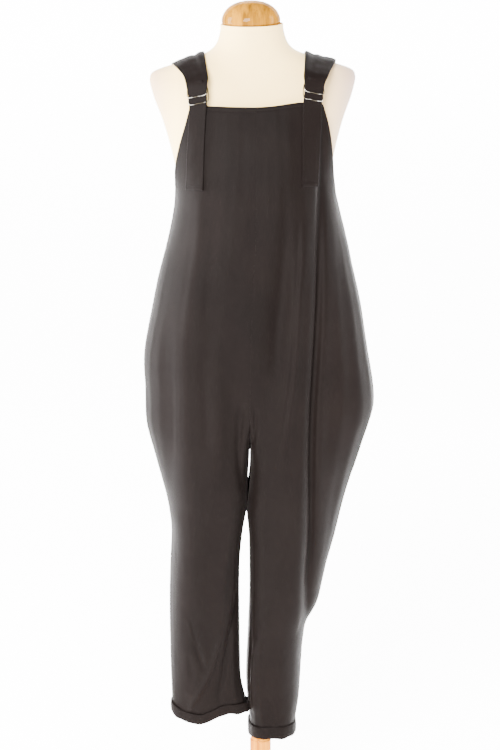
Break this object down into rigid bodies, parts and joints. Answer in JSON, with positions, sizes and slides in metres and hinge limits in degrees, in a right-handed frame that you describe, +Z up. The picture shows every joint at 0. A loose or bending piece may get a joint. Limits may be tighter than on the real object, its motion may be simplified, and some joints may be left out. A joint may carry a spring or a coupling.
{
  "type": "jumpsuit on a dress form",
  "caption": "Wide-leg jumpsuit of dungaree cut in dark crepe, with ring-held straps and turned-up hems, on a limbless cream dress form with a wooden neck cap, pole and round base.",
  "frame": {"origin": "centre of the round base's underside, on the pole's axis", "axes": "+Z up along the pole, -Y towards the garment's front, +X towards the wearer's left"},
  "size_m": [0.4556, 0.36, 1.6609],
  "materials": {
    "crepe": "matt crepe, charcoal brown",
    "form_cover": "matt cream jersey cover",
    "beech": "satin varnish",
    "ring_steel": "polished"
  },
  "bodies": {
    "root": {"front_right": "crepe", "front_left": "crepe", "back_right": "crepe", "back_left": "crepe", "cuff_right": "crepe", "cuff_left": "crepe", "strap_right": "crepe", "strap_left": "crepe", "tab_right": "crepe", "tab_left": "crepe", "ring_right_upper": "ring_steel", "ring_right_lower": "ring_steel", "ring_left_upper": "ring_steel", "ring_left_lower": "ring_steel", "form_body": "form_cover", "neck_cap": "beech", "pole": "beech", "stand_base": "beech"}
  },
  "joints": []
}
